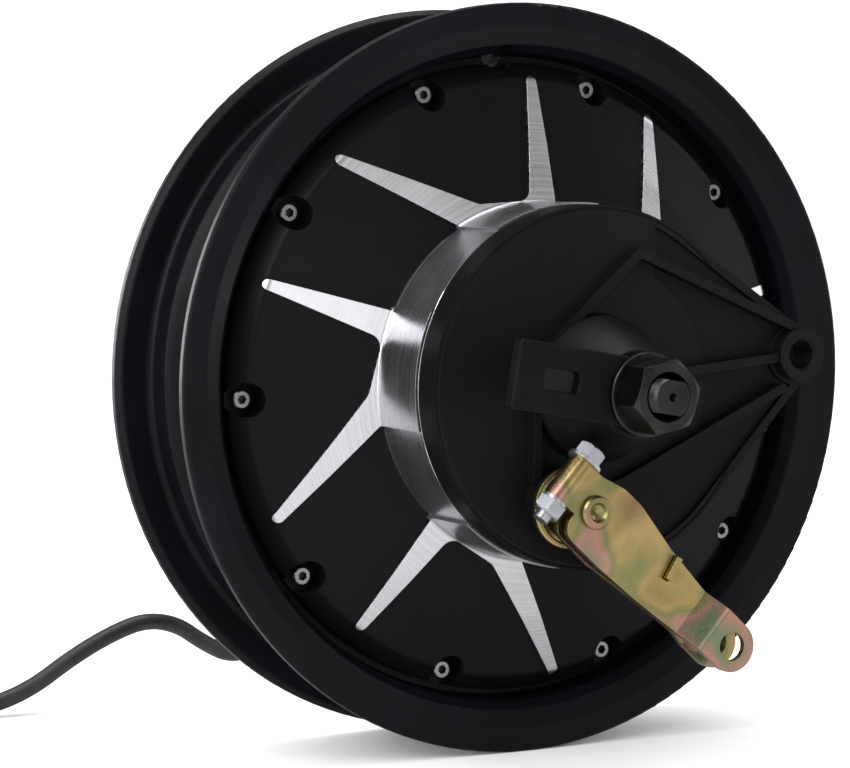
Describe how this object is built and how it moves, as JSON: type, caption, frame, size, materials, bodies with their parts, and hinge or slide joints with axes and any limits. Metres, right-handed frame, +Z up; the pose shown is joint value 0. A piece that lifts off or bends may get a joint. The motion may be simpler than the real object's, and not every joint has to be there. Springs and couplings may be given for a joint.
{
  "type": "hub motor wheel",
  "caption": "Cast scooter wheel with the motor inside its hub, a drum brake with its cam lever, a keyed hollow axle and a coiled motor lead",
  "frame": {"origin": "middle of the rim's width on the wheel axis", "axes": "+Y along the axle from the brake side to the motor lead side, +Z up, +X to the right seen from the brake side"},
  "size_m": [0.3712, 0.4072, 0.282],
  "materials": {
    "satin_black_rim": "satin black, powder coated",
    "black_cover": "satin black with machined silver spokes and drum",
    "machined_aluminium": "machined",
    "black_plate": "matte black",
    "cast_iron": "machined inside",
    "bearing_steel": "ground and polished",
    "black_steel": "black oxide",
    "zinc_steel": "bright zinc",
    "yellow_zinc": "iridescent yellow zinc",
    "plain_steel": "turned",
    "stainless": "socket head screws",
    "magnet_nickel": "nickel plated",
    "lamination_steel": "stacked sheets",
    "copper_enamel": "enamelled copper",
    "board_green": "circuit board",
    "lead_insulation": "insulation",
    "black_rubber": "matte",
    "friction": "friction material",
    "felt": "felt",
    "black_plastic": "moulded"
  },
  "bodies": {
    "stator_axle": {"axle": "black_steel", "axle_key": "plain_steel", "stator_carrier": "machined_aluminium", "stator_laminations": "lamination_steel", "stator_windings": "copper_enamel", "hall_sensor_board": "board_green", "winding_leads": "lead_insulation", "axle_lead": "black_rubber", "bearing_front_inner": "bearing_steel", "bearing_rear_inner": "bearing_steel", "bearing_front_balls": "bearing_steel", "bearing_rear_balls": "bearing_steel", "axle_spacer_front": "plain_steel", "axle_spacer_rear": "plain_steel", "torque_bracket": "black_steel", "axle_washer_front": "black_steel", "axle_nut_front": "black_steel", "axle_washer_rear": "black_steel", "axle_nut_rear": "black_steel", "brake_plate": "black_plate", "anchor_pin": "plain_steel", "shoe_springs": "zinc_steel", "cam_felt": "felt", "cable_gland": "black_rubber", "cable_lead": "black_rubber", "cable_coil": "black_rubber", "cable_tail": "black_rubber", "cable_tie": "black_plastic", "cable_plug": "black_plastic", "plug_collar": "black_plastic"},
    "wheel": {"rim": "satin_black_rim", "flux_ring": "plain_steel", "magnets": "magnet_nickel", "front_cover": "black_cover", "rear_cover": "black_plate", "front_gasket": "black_rubber", "rear_gasket": "black_rubber", "front_cover_screws": "stainless", "rear_cover_screws": "stainless", "brake_drum_liner": "cast_iron", "bearing_front_outer": "bearing_steel", "bearing_rear_outer": "bearing_steel", "shaft_seal_front": "black_rubber", "shaft_seal_rear": "black_rubber"},
    "brake_lever_body": {"brake_cam": "plain_steel", "brake_lever": "yellow_zinc", "lever_pinch_bolt": "zinc_steel", "lever_lock_washer": "zinc_steel", "lever_pinch_nut": "zinc_steel", "cam_cap": "yellow_zinc"},
    "leading_shoe_body": {"leading_shoe": "machined_aluminium", "leading_lining": "friction"},
    "trailing_shoe_body": {"trailing_shoe": "machined_aluminium", "trailing_lining": "friction"}
  },
  "joints": [
    {"name": "wheel_spin", "type": "hinge", "parent": "stator_axle", "child": "wheel", "pos_m": [0, 0, 0], "axis": [0, 1, 0], "continuous": true},
    {"name": "brake_lever_turn", "type": "hinge", "parent": "stator_axle", "child": "brake_lever_body", "pos_m": [-0.01522, -0.09, -0.04182], "axis": [0, -1, 0], "range_deg": [0, 20], "stiffness_Nm_per_rad": 1, "springref_deg": -20.05},
    {"name": "leading_shoe_turn", "type": "hinge", "parent": "stator_axle", "child": "leading_shoe_body", "pos_m": [0.01471, -0.0545, 0.04041], "axis": [0, 1, 0], "range_deg": [0, 1]},
    {"name": "trailing_shoe_turn", "type": "hinge", "parent": "stator_axle", "child": "trailing_shoe_body", "pos_m": [0.01471, -0.0545, 0.04041], "axis": [0, -1, 0], "range_deg": [0, 1]}
  ],
  "couplings": [
    {"joint": "leading_shoe_turn", "follows": "brake_lever_turn", "ratio": 0.048},
    {"joint": "trailing_shoe_turn", "follows": "brake_lever_turn", "ratio": 0.048}
  ]
}
